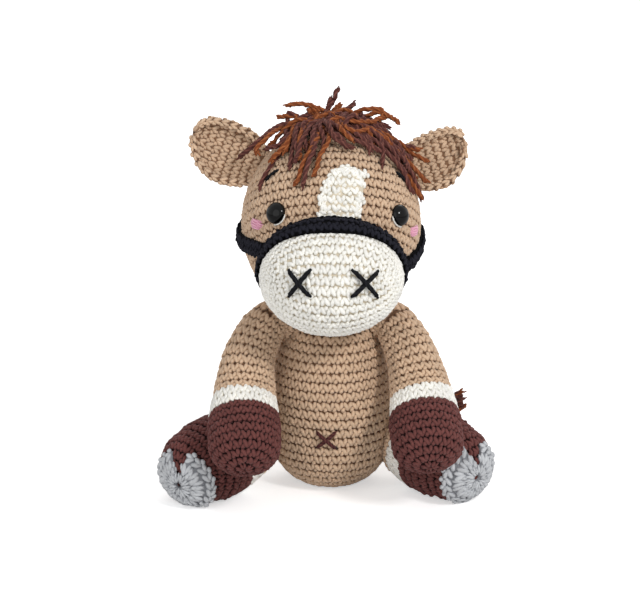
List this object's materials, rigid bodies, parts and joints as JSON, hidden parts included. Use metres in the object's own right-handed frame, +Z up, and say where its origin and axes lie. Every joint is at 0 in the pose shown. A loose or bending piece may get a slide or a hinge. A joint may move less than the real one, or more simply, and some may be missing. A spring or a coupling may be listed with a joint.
{
  "type": "stuffed_toy",
  "caption": "Seated crocheted horse toy: stuffed body, round head with muzzle, halter band and yarn mane, leaf ears, hanging arms and splayed legs with hoof soles, and a tassel tail.",
  "frame": {"origin": "The middle of the flat seat under the body, on the surface that the toy sits on.", "axes": "+Z is up, the toy faces -Y, and +X is its own left side."},
  "size_m": [0.184, 0.1437, 0.2215],
  "materials": {
    "tan_yarn": "matte crocheted cotton yarn",
    "cream_yarn": "matte crocheted cotton yarn",
    "brown_yarn": "matte crocheted cotton yarn",
    "grey_yarn": "matte crocheted cotton yarn",
    "black_yarn": "matte crocheted cotton yarn",
    "pink_thread": "satin embroidery thread",
    "white_thread": "satin embroidery thread",
    "mane_yarn": "matte twisted yarn in two browns",
    "stuffing": "loose polyester fibre",
    "eye_plastic": "polished black",
    "washer_plastic": "matte white"
  },
  "bodies": {
    "torso": {"body_cover": "tan_yarn", "body_stuffing": "stuffing", "navel_stitch": "brown_yarn"},
    "neck": {"neck_seam": "tan_yarn"},
    "head": {"head_cover": "tan_yarn", "head_stuffing": "stuffing", "muzzle_cover": "cream_yarn", "muzzle_stuffing": "stuffing", "left_nostril_stitch": "black_yarn", "right_nostril_stitch": "black_yarn", "noseband": "black_yarn", "cheek_strap": "black_yarn", "blaze": "cream_yarn", "left_eye": "eye_plastic", "right_eye": "eye_plastic", "left_eye_washer": "washer_plastic", "right_eye_washer": "washer_plastic", "left_eye_white": "white_thread", "right_eye_white": "white_thread", "left_brow": "black_yarn", "right_brow": "black_yarn", "left_cheek_stitch": "pink_thread", "right_cheek_stitch": "pink_thread", "mane": "mane_yarn"},
    "left_ear_body": {"left_ear": "tan_yarn"},
    "right_ear_body": {"right_ear": "tan_yarn"},
    "left_arm": {"left_arm_sleeve": "tan_yarn", "left_arm_cuff": "cream_yarn", "left_arm_hoof": "brown_yarn", "left_arm_stuffing": "stuffing"},
    "right_arm": {"right_arm_sleeve": "tan_yarn", "right_arm_cuff": "cream_yarn", "right_arm_hoof": "brown_yarn", "right_arm_stuffing": "stuffing"},
    "left_leg": {"left_leg_sleeve": "tan_yarn", "left_leg_cuff": "cream_yarn", "left_leg_hoof": "brown_yarn", "left_leg_stuffing": "stuffing", "left_leg_sole": "grey_yarn"},
    "right_leg": {"right_leg_sleeve": "tan_yarn", "right_leg_cuff": "cream_yarn", "right_leg_hoof": "brown_yarn", "right_leg_stuffing": "stuffing", "right_leg_sole": "grey_yarn"},
    "tail": {"tail_tassel": "mane_yarn", "tail_tie": "black_yarn"}
  },
  "joints": [
    {"name": "head_turn", "type": "hinge", "parent": "torso", "child": "neck", "pos_m": [0, 0, 0.096], "axis": [0, 0, 1], "range_deg": [-12, 12], "stiffness_Nm_per_rad": 0.5},
    {"name": "head_nod", "type": "hinge", "parent": "neck", "child": "head", "pos_m": [0, 0, 0.1475], "axis": [1, 0, 0], "range_deg": [-6, 6], "stiffness_Nm_per_rad": 2},
    {"name": "left_ear_fold", "type": "hinge", "parent": "head", "child": "left_ear_body", "pos_m": [0.0428, 0.0117, 0.1761], "axis": [0.32, -0.277, -0.906], "range_deg": [-6, 12], "stiffness_Nm_per_rad": 0.05},
    {"name": "right_ear_fold", "type": "hinge", "parent": "head", "child": "right_ear_body", "pos_m": [-0.0414, 0.008, 0.1794], "axis": [0.3629, 0.3069, 0.8798], "range_deg": [-6, 12], "stiffness_Nm_per_rad": 0.05},
    {"name": "left_arm_lift", "type": "hinge", "parent": "torso", "child": "left_arm", "pos_m": [0.0194, -0.0009, 0.091], "axis": [-1, 0, 0], "range_deg": [0, 28], "stiffness_Nm_per_rad": 0.3},
    {"name": "right_arm_lift", "type": "hinge", "parent": "torso", "child": "right_arm", "pos_m": [-0.0194, -0.0009, 0.091], "axis": [-1, 0, 0], "range_deg": [0, 28], "stiffness_Nm_per_rad": 0.3},
    {"name": "left_leg_raise", "type": "hinge", "parent": "torso", "child": "left_leg", "pos_m": [0.0326, 0.0042, 0.0294], "axis": [-1, 0, 0], "range_deg": [-30, 0], "stiffness_Nm_per_rad": 0.3},
    {"name": "right_leg_raise", "type": "hinge", "parent": "torso", "child": "right_leg", "pos_m": [-0.0321, 0.0055, 0.0301], "axis": [-1, 0, 0], "range_deg": [-30, 0], "stiffness_Nm_per_rad": 0.3},
    {"name": "tail_swing", "type": "hinge", "parent": "torso", "child": "tail", "pos_m": [0, 0.0368, 0.03], "axis": [0, 0, 1], "range_deg": [-8, 20], "stiffness_Nm_per_rad": 0.02}
  ]
}
